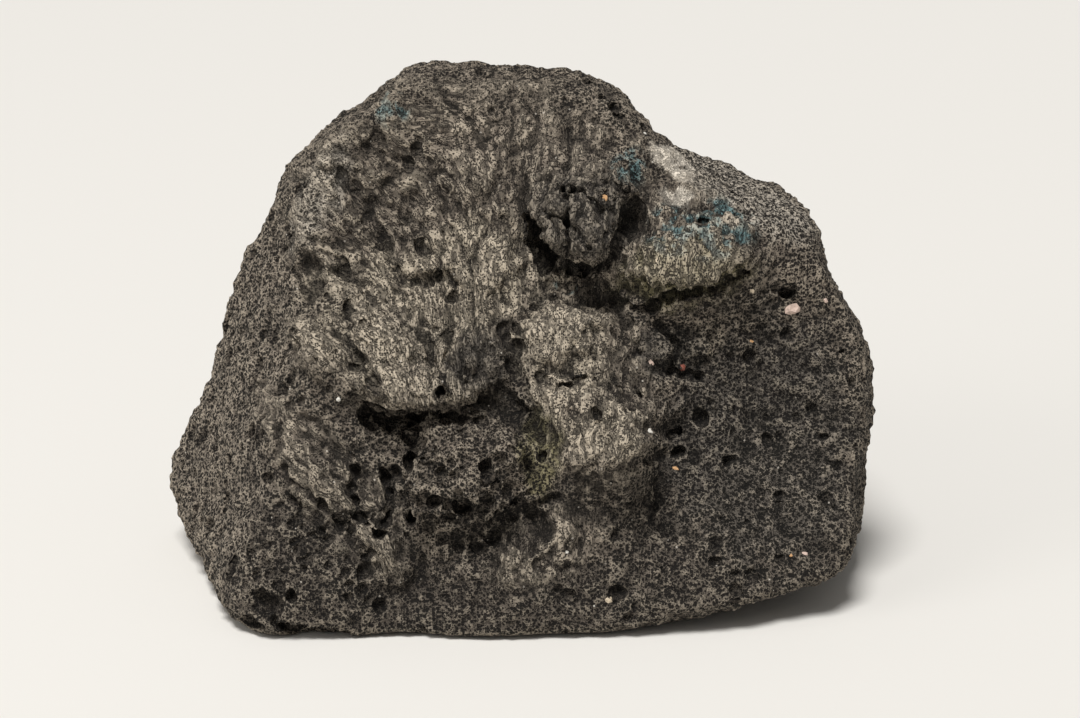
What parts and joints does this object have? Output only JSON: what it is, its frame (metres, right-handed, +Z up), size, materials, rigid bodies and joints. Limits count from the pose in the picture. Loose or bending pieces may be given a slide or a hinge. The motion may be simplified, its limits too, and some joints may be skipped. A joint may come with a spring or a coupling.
{
  "type": "lava rock",
  "caption": "Rough, broken chunk of porous dark lava rock, hollowed and folded on its front, that rests on a flat base.",
  "frame": {"origin": "middle of the stone's length and depth, at the height of its flat base", "axes": "+X to the right along the stone's length as its folded front is faced, +Y into the stone from that front, +Z up"},
  "size_m": [0.168, 0.124, 0.1166],
  "materials": {
    "lava_stone": "rough, porous, dull dark grey with tan and olive patches",
    "mineral_grain": "dull cream, pink and orange crystals"
  },
  "bodies": {
    "root": {"lava_rock": "lava_stone"}
  },
  "joints": []
}
